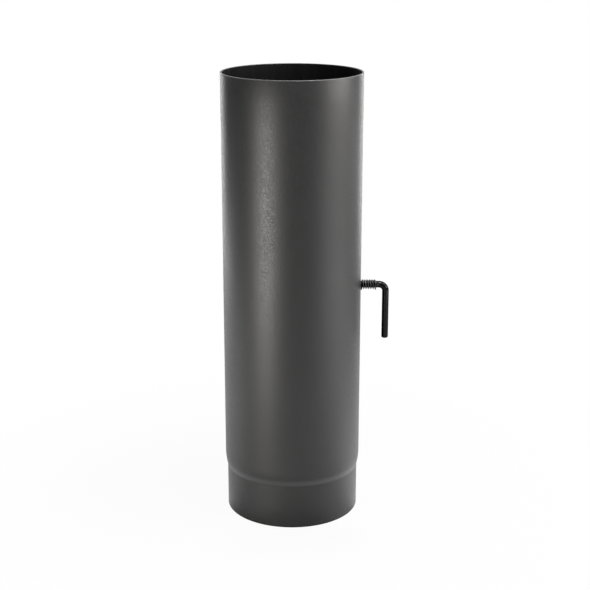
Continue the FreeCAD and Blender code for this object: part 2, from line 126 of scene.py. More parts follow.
class PipeSettings(bpy.types.PropertyGroup):
    """Sizes and paint of the pipe."""

    wall: length("Wall", "Thickness of the pipe's sheet", 2.0)
    main_radius: length("Main radius", "Outside radius of the pipe", 77.0)
    spigot_radius: length("Spigot radius", "Outside radius of the drawn-in lower end", 74.7)
    spigot_length: length("Spigot length", "Straight length below the crease", 49.0)
    crease_radius: length("Crease radius", "Bend where the spigot meets the shoulder", 2.0)
    shoulder_radius: length("Shoulder radius", "Outside radius of the rounded shoulder", 66.0)
    socket_depth: length("Socket depth", "Length of the calibrated upper end", 50.0)
    socket_lead: length("Socket lead", "Length of the cone below the calibrated end", 4.0)
    rim_rounding: length("Rim rounding", "Rounding of both rims", 0.4)
    hole_radius: length("Hole radius", "Radius of the two holes for the spindle", 4.05)
    seam_height: length("Seam height", "Height of the ground weld line at the back", 0.1)
    seam_width: length("Seam width", "Width of the ground weld line at the back", 4.0)
    seam_run_out: length("Seam run-out", "Length over which the weld line is ground away", 24.0)
    steps: bpy.props.IntProperty(
        name="Steps", description="Faces round the pipe", default=240, min=24,
    )
    paint: colour("Paint", "Heat-resistant paint on the outside", (0.009, 0.009, 0.0092))
    fleck: colour("Fleck", "Pale grains in the paint", (0.032, 0.0316, 0.0312))
    # The paler band above the crease is a painted highlight where the crease catches the light.
    painted_crease_highlight: colour("Scuff", "Paint rubbed paler above the crease", (0.062, 0.062, 0.063))
    # The paler top edge of the rim is partly thin paint on the cut edge, partly a painted
    # highlight.
    rim: colour("Rim", "Thin paint on the cut edge of the upper rim", (0.08, 0.08, 0.08))
    # The inside's colour is darker than the outside paint: painted shade for the pipe's inside.
    flue: colour("Flue paint", "Thin dark coat on the inside", (0.004, 0.004, 0.004))
    roughness: share("Roughness", "Roughness of the paint", 0.46)
    sheen: share("Sheen", "Strength of the paint's highlights", 0.72)
    flue_roughness: share("Flue roughness", "Least roughness of the inside", 0.56)
    flue_sheen: share("Flue sheen", "Strength of the highlights on the inside", 0.1)
    grain: length("Grain", "Size of the paint's grain", 1.5)


class HandleSettings(bpy.types.PropertyGroup):
    """Sizes and finish of the spindle, its handle and the spring."""

    rod_radius: length("Rod radius", "Radius of the spindle and handle", 3.75)
    bend_radius: length("Bend radius", "Bend of the handle, on its centre line", 7.5)
    tip_rounding: length("Tip rounding", "Rounding of the handle's tip", 1.2)
    far_rounding: length("Far end rounding", "Rounding of the spindle's far end", 0.6)
    ear_length: length("Ear length", "Pinched ears, along the rod", 3.2)
    ear_span: length("Ear span", "Pinched ears, tip to tip", 10.2)
    ear_thickness: length("Ear thickness", "Pinched ears, across their flat", 3.0)
    ear_gap: length("Ear gap", "Play between the ears and the bend", 0.1)
    dent_radius: length("Dent radius", "Jaw marks above and below the ears", 1.6)
    dent_depth: length("Dent depth", "Depth of the jaw marks", 0.45)
    pin_hole: length("Pin hole", "Radius of the split pin's hole", 1.5)
    wire: length("Spring wire", "Diameter of the spring's wire", 1.5)
    spring_play: length("Spring play", "Radial play of the spring on the rod", 0.1)
    seat_gap: length("Seat gap", "Play between the spring and the pipe", 0.3)
    coil_gap: length("Coil gap", "Air between turns of the spring", 1.2)
    foot_length: length("Foot length", "Wire's end at the pipe, below the rod's axis", 7.7)
    foot_lean: length("Foot lean", "How far that end leans towards the pipe", 0.3)
    tail_length: length("Tail length", "Wire's end at the ears, below the rod's axis", 4.8)
    turns: bpy.props.FloatProperty(
        name="Turns", description="Turns of the spring", default=5.5, min=1.0,
    )
    rod_black: colour("Rod black", "Blackened steel of the handle", (0.022, 0.022, 0.0222))
    spring_black: colour("Spring black", "Blackened steel of the spring", (0.062, 0.062, 0.063))
    roughness: share("Roughness", "Roughness of the rod's finish", 0.2)
    spring_roughness: share("Spring roughness", "Roughness of the spring's finish", 0.26)


class ThrottleSettings(bpy.types.PropertyGroup):
    """Finish of the blade and its pin."""

    blade: colour("Blade", "Dark coat on the throttle blade", (0.028, 0.028, 0.029))
    blade_roughness: share("Blade roughness", "Roughness of the blade's coat", 0.5)
    blade_sheen: share("Blade sheen", "Strength of the highlights on the blade", 0.4)
    pin: colour("Pin", "Plain steel of the split pin", (0.36, 0.36, 0.37))
    pin_roughness: share("Pin roughness", "Roughness of the pin's steel", 0.38)


class StageSettings(bpy.types.PropertyGroup):
    """Camera, lights and floor."""

    floor: colour("Floor", "Pale floor", (0.5, 0.5, 0.5))
    floor_bright: share("Floor brightness", "Extra brightness of the floor in reflections", 0.9)
    floor_glow: share("Floor glow", "How far the floor shows as plain white", 0.95)
    sweep_near: length("Sweep near", "Reflections show a white floor to this distance", 500.0)
    sweep_far: length("Sweep far", "Distance at which that white has run out", 1300.0)
    ambient: share("Ambient", "Soft light from all round", 0.19)
    warm_lamp: colour("Warm lamp", "Colour of the side softboxes", (1.0, 0.97, 0.935))
    key_power: watts("Key", "Left softbox", 4.6)
    side_power: watts("Side", "Right softbox", 4.55)
    high_power: watts("High", "High right softbox", 5.0)
    card_power: watts("Card", "Low right lamp", 1.05)
    panel_power: watts("Panel", "Each panel at the sides", 0.5)
    low_panel_power: watts("Low panel", "Low panel close on the left", 0.1)
    rim_power: watts("Rim", "Each lamp behind", 2.8)
    overhead_power: watts("Overhead", "Top lamp", 21.0)
    camera_distance: length("Camera distance", "Camera in front of the pipe's axis", 1429.7)
    camera_height: length("Camera height", "Camera above the floor", 673.9)
    camera_tilt: angle("Camera tilt", "Camera's tilt below the horizon", 16.5)
    camera_turn: angle("Camera turn", "Camera's turn to the right", 0.13)
    focal_pixels: bpy.props.FloatProperty(
        name="Focal length", description="In picture pixels", default=1326.6, subtype="PIXEL",
    )


class DamperSettings(bpy.types.PropertyGroup):
    """Every setting of the stove pipe damper."""

    pipe: bpy.props.PointerProperty(
        name="Pipe", description="Pipe settings", type=PipeSettings,
    )
    handle: bpy.props.PointerProperty(
        name="Handle", description="Handle settings", type=HandleSettings,
    )
    throttle: bpy.props.PointerProperty(
        name="Throttle", description="Throttle settings", type=ThrottleSettings,
    )
    stage: bpy.props.PointerProperty(
        name="Stage", description="Stage settings", type=StageSettings,
    )


# Shader nodes

MIX_SHARE, MIX_FIRST, MIX_SECOND = 0, 6, 7
MIX_RESULT = 2
NOISE_MIDDLE = 0.5


class Signal:
    """A shader socket. Python's operators on it add Math nodes, and add() puts in any other."""

    def __init__(self, tree, socket=None):
        self.tree = tree
        self.socket = socket

    def add(self, kind, values=None, output=0, **settings):
        """Adds a node: its settings first, then its sockets' values or links. Gives an output."""
        node = self.tree.nodes.new(kind)
        for name, value in settings.items():
            setattr(node, name, value)
        for place, value in (values or {}).items():
            if isinstance(value, Signal):
                self.tree.links.new(value.socket, node.inputs[place])
            else:
                node.inputs[place].default_value = value
        return Signal(self.tree, node.outputs[output]) if len(node.outputs) else None

    def maths(self, operation, first, second):
        return self.add("ShaderNodeMath", {0: first, 1: second}, operation=operation)

    def __add__(self, other):
        return self.maths("ADD", self, other)

    def __radd__(self, other):
        return self.maths("ADD", other, self)

    def __sub__(self, other):
        return self.maths("SUBTRACT", self, other)

    def __rsub__(self, other):
        return self.maths("SUBTRACT", other, self)

    def __mul__(self, other):
        return self.maths("MULTIPLY", self, other)

    def __rmul__(self, other):
        return self.maths("MULTIPLY", other, self)

    def __truediv__(self, other):
        return self.maths("DIVIDE", self, other)

    def __rtruediv__(self, other):
        return self.maths("DIVIDE", other, self)


def new_tree(owner):
    """An owner's empty node tree, as a Signal that adds to it."""
    owner.use_nodes = True
    owner.node_tree.nodes.clear()
    return Signal(owner.node_tree)


def new_finish(name):
    """A new material, the start of its empty tree, and the place on its piece in metres."""
    material = bpy.data.materials.new(name)
    start = new_tree(material)
    return material, start, start.add("ShaderNodeTexCoord", output="Object")


def coordinate(start, place, axis):
    """One coordinate of a place."""
    return start.add("ShaderNodeSeparateXYZ", {0: place}, output=axis)


def squeeze(start, place, factors):
    """A place scaled along each axis: a small factor draws noise out into streaks that way."""
    return start.add("ShaderNodeVectorMath", {0: place, 1: factors}, operation="MULTIPLY")


def noise(start, place, size, detail=2.0, roughness=0.5):
    """Noise whose features are of a size in metres, from 0 to 1."""
    values = {"Vector": place, "Scale": 1.0 / size, "Detail": detail, "Roughness": roughness}
    return start.add("ShaderNodeTexNoise", values)


def swing(pattern, amount):
    """Noise as a swing to both sides of nothing."""
    return (pattern - NOISE_MIDDLE) * amount


def patchy(pattern, amount, least):
    """Noise as an amount on top of the least."""
    return pattern * amount + least


def step(start, value, low, high):
    """A soft step from 0 at low to 1 at high."""
    values = {"Value": value, "From Min": low, "From Max": high}
    return start.add("ShaderNodeMapRange", values, interpolation_type="SMOOTHSTEP")


def fade(start, value, low, high):
    """A soft step from 1 at low to 0 at high."""
    return 1.0 - step(start, value, low, high)


def blend(start, share_of_second, first, second):
    """A colour between two colours."""
    values = {MIX_SHARE: share_of_second, MIX_FIRST: first, MIX_SECOND: second}
    return start.add("ShaderNodeMix", values, output=MIX_RESULT, data_type="RGBA")


def mix_shaders(start, share_of_second, first, second):
    """A shader between two shaders."""
    return start.add("ShaderNodeMixShader", {0: share_of_second, 1: first, 2: second})


def bump(start, height, depth, strength=1.0):
    """A surface normal that follows a height from 0 to 1 over a depth in metres."""
    values = {"Height": height, "Distance": depth, "Strength": strength}
    return start.add("ShaderNodeBump", values)


def surface(start, values):
    """Ends a material's tree in one Principled shader."""
    shader = start.add("ShaderNodeBsdfPrincipled", values)
    start.add("ShaderNodeOutputMaterial", {"Surface": shader})


def rgba(value, factor=1.0):
    """A colour for a socket, made darker or paler by a factor."""
    return (*(part * factor for part in value), 1.0)


# Finishes: levels are heights of noise at which a mark starts and is full

CLOUD_SIZE = 60 * MM
DUST_SIZE = 0.45
DUST_LEVELS, DUST_SHARE = (0.55, 0.78), 0.55
GRAIN_LEVELS, GRAIN_SHARE = (0.5, 0.75), 0.25
CLOUD_LEVELS, CLOUD_SHARE, CLOUD_DARKER = (0.35, 0.7), 0.5, 0.86
# Paler rim edge, partly thin paint, partly painted highlight: where it starts and is full below the
# top.
RIM_START, RIM_FULL, RIM_PATCHES = 0.9 * MM, 0.4 * MM, (0.5, 0.6)
# Painted highlight above the crease: full just above it, fading out higher up, in patches.
CREASE_HIGHLIGHT_FULL, CREASE_HIGHLIGHT_FADES, CREASE_HIGHLIGHT_ENDS, CREASE_HIGHLIGHT_PATCHES = 2 * MM, 4 * MM, 10 * MM, (0.6, 0.4)
PAINT_SPARKLE, PAINT_CLOUDING = 0.48, 0.05
PAINT_RELIEF, PAINT_RELIEF_STRENGTH, DUST_RELIEF = 0.12 * MM, 0.5, 0.4


def pipe_paint(settings):
    """Dark grey heat-resistant paint: sparkling dry grain, pale flecks and clouds of spraying.

    A paler band above the crease is a painted highlight, and the paler rim edge is partly thin
    paint, partly painted highlight.
    """
    material, start, place = new_finish("pipe_paint")
    grain = noise(start, place, settings.grain, detail=3.0, roughness=0.6)
    dust = noise(start, place, settings.grain * DUST_SIZE, detail=1.0)
    cloud = noise(start, place, CLOUD_SIZE)
    dusty = step(start, dust, *DUST_LEVELS) * DUST_SHARE
    flecks = dusty + step(start, grain, *GRAIN_LEVELS) * GRAIN_SHARE
    paint = blend(start, flecks, rgba(settings.paint), rgba(settings.fleck))
    cloudy = step(start, cloud, *CLOUD_LEVELS) * CLOUD_SHARE
    tint = blend(start, cloudy, paint, rgba(settings.paint, CLOUD_DARKER))

    height = coordinate(start, place, "Z")
    # The rim's top edge made paler: partly thin paint, partly a painted highlight.
    rim_paint_and_highlight = step(start, height, PIPE_HIGH.z - RIM_START, PIPE_HIGH.z - RIM_FULL)
    rim = rim_paint_and_highlight * patchy(grain, *RIM_PATCHES)
    # Painted highlight: the paint made paler in a band just above the crease.
    crease = settings.spigot_length
    above_crease = step(start, height, crease, crease + CREASE_HIGHLIGHT_FULL)
    painted_crease_highlight = above_crease * fade(start, height, crease + CREASE_HIGHLIGHT_FADES, crease + CREASE_HIGHLIGHT_ENDS)
    with_painted_highlight = blend(start, painted_crease_highlight * patchy(grain, *CREASE_HIGHLIGHT_PATCHES), tint, rgba(settings.painted_crease_highlight))
    rough = swing(grain, PAINT_SPARKLE) + swing(cloud, PAINT_CLOUDING) + settings.roughness
    relief = grain * (1.0 - DUST_RELIEF) + dust * DUST_RELIEF
    surface(start, {
        "Base Color": blend(start, rim, with_painted_highlight, rgba(settings.rim)),
        "Roughness": rough,
        "Specular IOR Level": settings.sheen,
        "Normal": bump(start, relief, PAINT_RELIEF, PAINT_RELIEF_STRENGTH),
    })
    return material


FLUE_GRAIN = 1.4
FLUE_STREAK_SIZE, FLUE_DOWNWARDS = 12 * MM, (1.0, 1.0, 0.12)
FLUE_LEVELS, FLUE_SHARE, FLUE_PALER = (0.4, 0.75), 0.6, 2.0
FLUE_GRAINING = 0.2
FLUE_RELIEF, FLUE_RELIEF_STRENGTH = 0.15 * MM, 0.5


def flue_coat(settings):
    """The thin coat on the inside: sprayed dry and uneven, and darker than the outside as painted
    shade.
    """
    material, start, place = new_finish("flue_coat")
    grain = noise(start, place, settings.grain * FLUE_GRAIN, detail=3.0, roughness=0.6)
    streak = noise(start, squeeze(start, place, FLUE_DOWNWARDS), FLUE_STREAK_SIZE, detail=3.0)
    streaks = step(start, streak, *FLUE_LEVELS) * FLUE_SHARE
    paler = rgba(settings.flue, FLUE_PALER)
    surface(start, {
        "Base Color": blend(start, streaks, rgba(settings.flue), paler),
        "Roughness": patchy(grain, FLUE_GRAINING, settings.flue_roughness),
        "Specular IOR Level": settings.flue_sheen,
        "Normal": bump(start, grain, FLUE_RELIEF, FLUE_RELIEF_STRENGTH),
    })
    return material


ROD_GRAIN_SIZE, ROD_PATCH_SIZE = 0.5 * MM, 9 * MM
RUBBED_LEVELS, RUBBED_SHARE, RUBBED_PALER = (0.5, 0.8), 0.5, 1.5
# Painted shade: how much darker and rougher the rod is where the spring and the jaw marks shade it.
PAINTED_SHADE_DARKER, PAINTED_SHADE_ROUGHER = 0.15, 0.3
SPRING_SHADE_INSETS = (-0.2 * MM, -1.2 * MM)
JAW_SHADE_INSETS = (0.3 * MM, 1.0 * MM)
DENT_SHADE_RISES = (1.0 * MM, 2.2 * MM)
ROD_PATCHING, ROD_GRAINING = 0.1, 0.06
DRAWN_RELIEF, DRAWN_RELIEF_STRENGTH = 0.03 * MM, 0.3


def rod_finish(settings):
    """Blackened drawn steel with rubbed patches.

    Painted shade makes it darker and rougher from under the spring through the pipe, and in the jaw
    marks.
    """
    material, start, place = new_finish("rod_black")
    grain = noise(start, place, ROD_GRAIN_SIZE)
    patch = noise(start, place, ROD_PATCH_SIZE)
    ears_end = ROD_HIGH.x - settings.rod_radius - settings.bend_radius
    ears = ears_end - settings.ear_length
    along = coordinate(start, place, "X")
    # Painted shade from under the spring inwards through the pipe, and in the jaw marks above and
    # below the ears.
    spring_shade_mask = step(start, along, *(ears + inset for inset in SPRING_SHADE_INSETS))
    from_left = step(start, along, *(ears + inset for inset in JAW_SHADE_INSETS))
    from_right = step(start, along, *(ears_end - inset for inset in JAW_SHADE_INSETS))
    height = coordinate(start, place, "Z") - TURN_AXIS.z
    above = step(start, height, *DENT_SHADE_RISES)
    below = step(start, height, *(-rise for rise in DENT_SHADE_RISES))
    painted_shade = spring_shade_mask + from_left * from_right * (above + below)
    rubbed = step(start, patch, *RUBBED_LEVELS) * RUBBED_SHARE
    black = rgba(settings.rod_black)
    coat = blend(start, rubbed, black, rgba(settings.rod_black, RUBBED_PALER))
    uneven = swing(patch, ROD_PATCHING) + swing(grain, ROD_GRAINING)
    surface(start, {
        "Base Color": blend(start, painted_shade, coat, rgba(settings.rod_black, PAINTED_SHADE_DARKER)),
        "Metallic": 1.0,
        "Specular Tint": BLACK,
        "Roughness": uneven + painted_shade * PAINTED_SHADE_ROUGHER + settings.roughness,
        "Normal": bump(start, grain, DRAWN_RELIEF, DRAWN_RELIEF_STRENGTH),
    })
    return material


SPRING_GRAIN_SIZE, SPRING_PATCH_SIZE = 0.3 * MM, 3 * MM
WOUND_LEVELS, WOUND_PALER = (0.45, 0.75), 1.6
SPRING_GRAINING = 0.08


def spring_finish(settings):
    """Darkened spring steel, a little brighter where the coils were wound."""
    material, start, place = new_finish("spring_black")
    grain = noise(start, place, SPRING_GRAIN_SIZE)
    patch = noise(start, place, SPRING_PATCH_SIZE, detail=1.0)
    wound = step(start, patch, *WOUND_LEVELS)
    paler = rgba(settings.spring_black, WOUND_PALER)
    surface(start, {
        "Base Color": blend(start, wound, rgba(settings.spring_black), paler),
        "Metallic": 1.0,
        "Specular Tint": BLACK,
        "Roughness": swing(grain, SPRING_GRAINING) + settings.spring_roughness,
        "Normal": bump(start, grain, DRAWN_RELIEF, DRAWN_RELIEF_STRENGTH),
    })
    return material


BLADE_GRAIN_SIZE = 0.9 * MM
ROLLED_SIZE, ROLLED_ALONG = 4 * MM, (0.08, 1.0, 1.0)
ROLLED_LEVELS, ROLLED_SHARE, ROLLED_PALER = (0.4, 0.75), 0.5, 1.8
BLADE_GRAINING, BLADE_ROLLING = 0.14, 0.1
BLADE_RELIEF, BLADE_RELIEF_STRENGTH, ROLLED_RELIEF = 0.12 * MM, 0.5, 0.3


def blade_finish(settings):
    """The blade's dark coat: rolled sheet shows through as faint streaks."""
    material, start, place = new_finish("blade_coat")
    grain = noise(start, place, BLADE_GRAIN_SIZE, detail=3.0, roughness=0.6)
    rolled = noise(start, squeeze(start, place, ROLLED_ALONG), ROLLED_SIZE, detail=3.0)
    streaks = step(start, rolled, *ROLLED_LEVELS) * ROLLED_SHARE
    uneven = swing(grain, BLADE_GRAINING) + swing(rolled, BLADE_ROLLING)
    relief = grain * (1.0 - ROLLED_RELIEF) + rolled * ROLLED_RELIEF
    paler = rgba(settings.blade, ROLLED_PALER)
    surface(start, {
        "Base Color": blend(start, streaks, rgba(settings.blade), paler),
        "Roughness": uneven + settings.blade_roughness,
        "Specular IOR Level": settings.blade_sheen,
        "Normal": bump(start, relief, BLADE_RELIEF, BLADE_RELIEF_STRENGTH),
    })
    return material


DRAWN_SIZE, DRAWN_ALONG = 0.3 * MM, (1.0, 0.1, 1.0)
DULLED_LEVELS, DULLED_DARKER, DULLED_ROUGHER = (0.4, 0.7), 0.6, 0.2
PIN_RELIEF_STRENGTH = 0.4


def pin_finish(settings):
    """Plain steel wire of the split pin, dulled by drawing."""
    material, start, place = new_finish("pin_steel")
    drawn = noise(start, squeeze(start, place, DRAWN_ALONG), DRAWN_SIZE, detail=3.0)
    dulled = step(start, drawn, *DULLED_LEVELS)
    surface(start, {
        "Base Color": blend(start, dulled, rgba(settings.pin), rgba(settings.pin, DULLED_DARKER)),
        "Roughness": swing(drawn, DULLED_ROUGHER) + settings.pin_roughness,
        "Metallic": 1.0,
        "Normal": bump(start, drawn, DRAWN_RELIEF, PIN_RELIEF_STRENGTH),
    })
    return material


# Meshes

def new_piece(name, vertices, faces, *materials):
    """A mesh piece at the frame's origin."""
    mesh = bpy.data.meshes.new(name)
    mesh.from_pydata([tuple(vertex) for vertex in vertices], [], faces)
    if mesh.validate():
        raise RuntimeError(f"{name} has faulty faces")
    for material in materials:
        mesh.materials.append(material)
    piece = bpy.data.objects.new(name, mesh)
    bpy.context.scene.collection.objects.link(piece)
    return piece


def smooth(piece, crease_degrees):
    """Smooth shading, with edges sharper than an angle kept crisp."""
    piece.data.shade_smooth()
    piece.data.set_sharp_from_angle(angle=math.radians(crease_degrees))


def drill(piece, centre, direction, radius, depth, steps):
    """Cuts a round hole through a piece, to both sides of a centre."""
    tool_mesh = bpy.data.meshes.new("drill")
    tool = bmesh.new()
    bmesh.ops.create_cone(
        tool, cap_ends=True, segments=steps, radius1=radius, radius2=radius, depth=2 * depth,
        matrix=direction.to_track_quat("Z", "Y").to_matrix().to_4x4(),
    )
    bmesh.ops.translate(tool, verts=tool.verts, vec=centre)
    tool.to_mesh(tool_mesh)
    tool.free()
    tool_object = bpy.data.objects.new("drill", tool_mesh)
    bpy.context.scene.collection.objects.link(tool_object)
    cut = piece.modifiers.new("hole", "BOOLEAN")
    cut.operation = "DIFFERENCE"
    cut.solver = "EXACT"
    cut.object = tool_object
    drilled = piece.evaluated_get(bpy.context.evaluated_depsgraph_get())
    piece.data = bpy.data.meshes.new_from_object(drilled)
    piece.modifiers.clear()
    bpy.data.objects.remove(tool_object)
    bpy.data.meshes.remove(tool_mesh)


def tube_faces(rings, points, closed=False):
    """Quads between rings of points, with flat ends unless the tube closes on itself."""
    faces = []
    for ring in range(rings if closed else rings - 1):
        here, there = ring * points, (ring + 1) % rings * points
        for point in range(points):
            after = (point + 1) % points
            faces.append((here + point, here + after, there + after, there + point))
    if not closed:
        faces.append(tuple(reversed(range(points))))
        faces.append(tuple(range((rings - 1) * points, rings * points)))
    return faces


def arc_points(centre, radius, first, last, steps):
    """Points on an arc, both ends included, as (radius, height)."""
    points = []
    for number in range(steps + 1):
        turn = first + (last - first) * number / steps
        points.append((centre[0] + radius * math.cos(turn), centre[1] + radius * math.sin(turn)))
    return points


# Pipe

RIM_STEPS, CREASE_STEPS, SHOULDER_STEPS, SEAM_STEPS = 4, 8, 16, 6
SEAM_START = 1.5
HOLE_STEPS = 48
PAST_WALL = 1.2
PIPE_CRISP_DEGREES = 40


def wall_line(settings, inset):
    """The pipe's outside from its lower rim to its upper one, or its inside when inset."""
    low = settings.spigot_radius - inset
    mid = settings.main_radius - inset
    high = PIPE_HIGH.x - inset
    crease = settings.crease_radius + inset
    shoulder = settings.shoulder_radius - inset
    turn = math.acos(1 - (mid - low) / (crease + shoulder))
    crease_height = settings.spigot_length
    shoulder_height = crease_height + (crease + shoulder) * math.sin(turn)
    socket_start = PIPE_HIGH.z - settings.socket_depth
    near_hole = 3 * settings.hole_radius
    crease_centre = (low + crease, crease_height)
    shoulder_centre = (mid - shoulder, shoulder_height)
    points = [(low, crease_height / 2)]
    points += arc_points(crease_centre, crease, math.pi, math.pi - turn, CREASE_STEPS)
    points += arc_points(shoulder_centre, shoulder, -turn, 0.0, SHOULDER_STEPS)[1:]
    points += [(mid, TURN_AXIS.z - near_hole), (mid, TURN_AXIS.z + near_hole)]
    points += [(mid, socket_start - settings.socket_lead), (high, socket_start)]
    points += [(high, (socket_start + PIPE_HIGH.z) / 2)]
    return points


def pipe_section(settings):
    """The closed section of the wall, and how many of its points lie on the outside."""
    rounding = settings.rim_rounding
    low, high = PIPE_LOW.z + rounding, PIPE_HIGH.z - rounding
    outer = wall_line(settings, 0.0)
    inner = wall_line(settings, settings.wall)

    def rim(radius, height, quarter):
        first, last = quarter * QUARTER, (quarter + 1) * QUARTER
        return arc_points((radius, height), rounding, first, last, RIM_STEPS)

    outside = rim(outer[0][0] - rounding, low, -1) + outer
    outside += rim(outer[-1][0] - rounding, high, 0)
    inside = rim(inner[-1][0] + rounding, high, 1) + inner[::-1]
    inside += rim(inner[0][0] + rounding, low, 2)
    return outside + inside, len(outside)


def seam_lift(settings, turn, height):
    """How far the weld line stands off the wall at the back, run out at both of its ends."""
    across = abs(turn - QUARTER) * settings.main_radius / (settings.seam_width / 2)
    if across >= 1:
        return 0.0
    low_end = settings.spigot_length * SEAM_START
    high_end = PIPE_HIGH.z - settings.socket_depth - settings.socket_lead
    ends = min(height - low_end, high_end - height) / settings.seam_run_out
    swell = (1 + math.cos(math.pi * across)) / 2
    return settings.seam_height * swell * min(max(ends, 0.0), 1.0)


class STOVE_OT_pipe(bpy.types.Operator):
    """Turns the pipe's wall from its section, drills the spindle's holes and paints it"""

    bl_idname = "stove.pipe"
    bl_label = "Pipe"

    def execute(self, context):
        settings = context.scene.stove_pipe.pipe
        section, outside_points = pipe_section(settings)
        half_seam = settings.seam_width / settings.main_radius / 2
        turns = [FULL * number / settings.steps for number in range(settings.steps)]
        turns = [turn for turn in turns if abs(turn - QUARTER) > half_seam]
        seam_numbers = range(-SEAM_STEPS, SEAM_STEPS + 1)
        turns += [QUARTER + half_seam * number / SEAM_STEPS for number in seam_numbers]
        turns.sort()
        vertices = []
        for turn in turns:
            for radius, height in section:
                reach = radius + seam_lift(settings, turn, height)
                vertices.append((reach * math.cos(turn), reach * math.sin(turn), height))
        faces = tube_faces(len(turns), len(section), closed=True)
        finishes = pipe_paint(settings), flue_coat(settings)
        piece = new_piece("stove_pipe", vertices, faces, *finishes)
        inside = range(outside_points + RIM_STEPS, len(section) - RIM_STEPS - 1)
        for number, face in enumerate(piece.data.polygons):
            face.material_index = 1 if number % len(section) in inside else 0
        drill(piece, TURN_AXIS, OUT, settings.hole_radius, PIPE_HIGH.x * PAST_WALL, HOLE_STEPS)
        smooth(piece, PIPE_CRISP_DEGREES)
        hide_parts("pipe_body")
        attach(piece, "pipe")
        return {"FINISHED"}


# Spindle, handle and spring

ROD_POINTS, FAR_END_STEPS, EAR_STEPS, BEND_STEPS, TIP_STEPS = 48, 5, 24, 16, 6
EAR_ROOM = 1.04
EAR_SOFTNESS = 0.25 * MM
LEAST_RISE = 0.01
PIN_HOLE_STEPS = 24
WIRE_POINTS, COIL_STEPS = 14, 40
ROD_CRISP_DEGREES = 50


def ear_radius(settings, along, turn):
    """The rod's radius near its ears: jaw marks above and below, fins to front and back."""
    round_part = settings.rod_radius
    groove_height = settings.rod_radius + settings.dent_radius - settings.dent_depth
    if abs(along) < settings.dent_radius:
        groove = groove_height - math.sqrt(settings.dent_radius**2 - along**2)
        round_part = min(round_part, groove / max(abs(math.sin(turn)), LEAST_RISE))
    reach = 1 - (2 * along / settings.ear_length) ** 2
    if reach <= 0:
        return round_part
    span = settings.ear_span / 2 * math.sqrt(reach)
    thickness = settings.ear_thickness / 2 * math.sqrt(reach)
    fin = span * thickness / math.hypot(thickness * math.cos(turn), span * math.sin(turn))
    return (round_part + fin + math.hypot(round_part - fin, EAR_SOFTNESS)) / 2


class STOVE_OT_handle(bpy.types.Operator):
    """Sweeps the spindle across the pipe and down into the handle, with its pinched ears"""

    bl_idname = "stove.handle"
    bl_label = "Spindle and handle"

    def ring(self, centre, across, radii):
        """A ring of the rod, square to its run: across is its outer side, radii a function."""
        ring = []
        for number in range(ROD_POINTS):
            turn = FULL * number / ROD_POINTS
            ring.append(centre + (BACK * math.cos(turn) + across * math.sin(turn)) * radii(turn))
        return ring

    def round_ring(self, centre, across, radius):
        """A ring of one radius."""
        return self.ring(centre, across, lambda turn: radius)

    def far_end(self, settings):
        """Rings of the spindle's rounded far end."""
        for number in range(FAR_END_STEPS + 1):
            turn = QUARTER * number / FAR_END_STEPS
            radius = settings.rod_radius - settings.far_rounding * (1 - math.sin(turn))
            inset = settings.far_rounding * (1 - math.cos(turn))
            yield self.round_ring(Vector((ROD_LOW.x + inset, 0, TURN_AXIS.z)), UP, radius)

    def ears(self, settings, middle):
        """Rings of the pinched ears."""
        for number in range(EAR_STEPS + 1):
            along = settings.ear_length * (number / EAR_STEPS - 0.5) * EAR_ROOM
            place = Vector((middle + along, 0, TURN_AXIS.z))
            yield self.ring(place, UP, lambda turn: ear_radius(settings, along, turn))

    def bend(self, settings, start):
        """Rings of the bend, from the spindle down into the handle."""
        centre = Vector((start, 0, TURN_AXIS.z - settings.bend_radius))
        for number in range(1, BEND_STEPS + 1):
            turn = QUARTER * number / BEND_STEPS
            across = UP * math.cos(turn) + OUT * math.sin(turn)
            yield self.round_ring(
                centre + across * settings.bend_radius, across, settings.rod_radius
            )

    def tip(self, settings, leg):
        """Rings of the handle's rounded tip."""
        for number in range(TIP_STEPS + 1):
            turn = QUARTER * number / TIP_STEPS
            radius = settings.rod_radius - settings.tip_rounding * (1 - math.cos(turn))
            height = ROD_LOW.z + settings.tip_rounding * (1 - math.sin(turn))
            yield self.round_ring(Vector((leg, 0, height)), OUT, radius)

    def execute(self, context):
        settings = context.scene.stove_pipe.handle
        rod = settings.rod_radius
        leg = ROD_HIGH.x - rod
        bend_start = leg - settings.bend_radius
        ears_middle = bend_start - settings.ear_gap - settings.ear_length / 2
        rings = [
            *self.far_end(settings), *self.ears(settings, ears_middle),
            *self.bend(settings, bend_start), *self.tip(settings, leg),
        ]
        vertices = [vertex for ring in rings for vertex in ring]
        faces = tube_faces(len(rings), ROD_POINTS)
        piece = new_piece("throttle_handle", vertices, faces, rod_finish(settings))
        drill(piece, TURN_AXIS, BACK, settings.pin_hole, 3 * rod, PIN_HOLE_STEPS)
        smooth(piece, ROD_CRISP_DEGREES)
        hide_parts("damper_spindle")
        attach(piece, "damper")
        return {"FINISHED"}


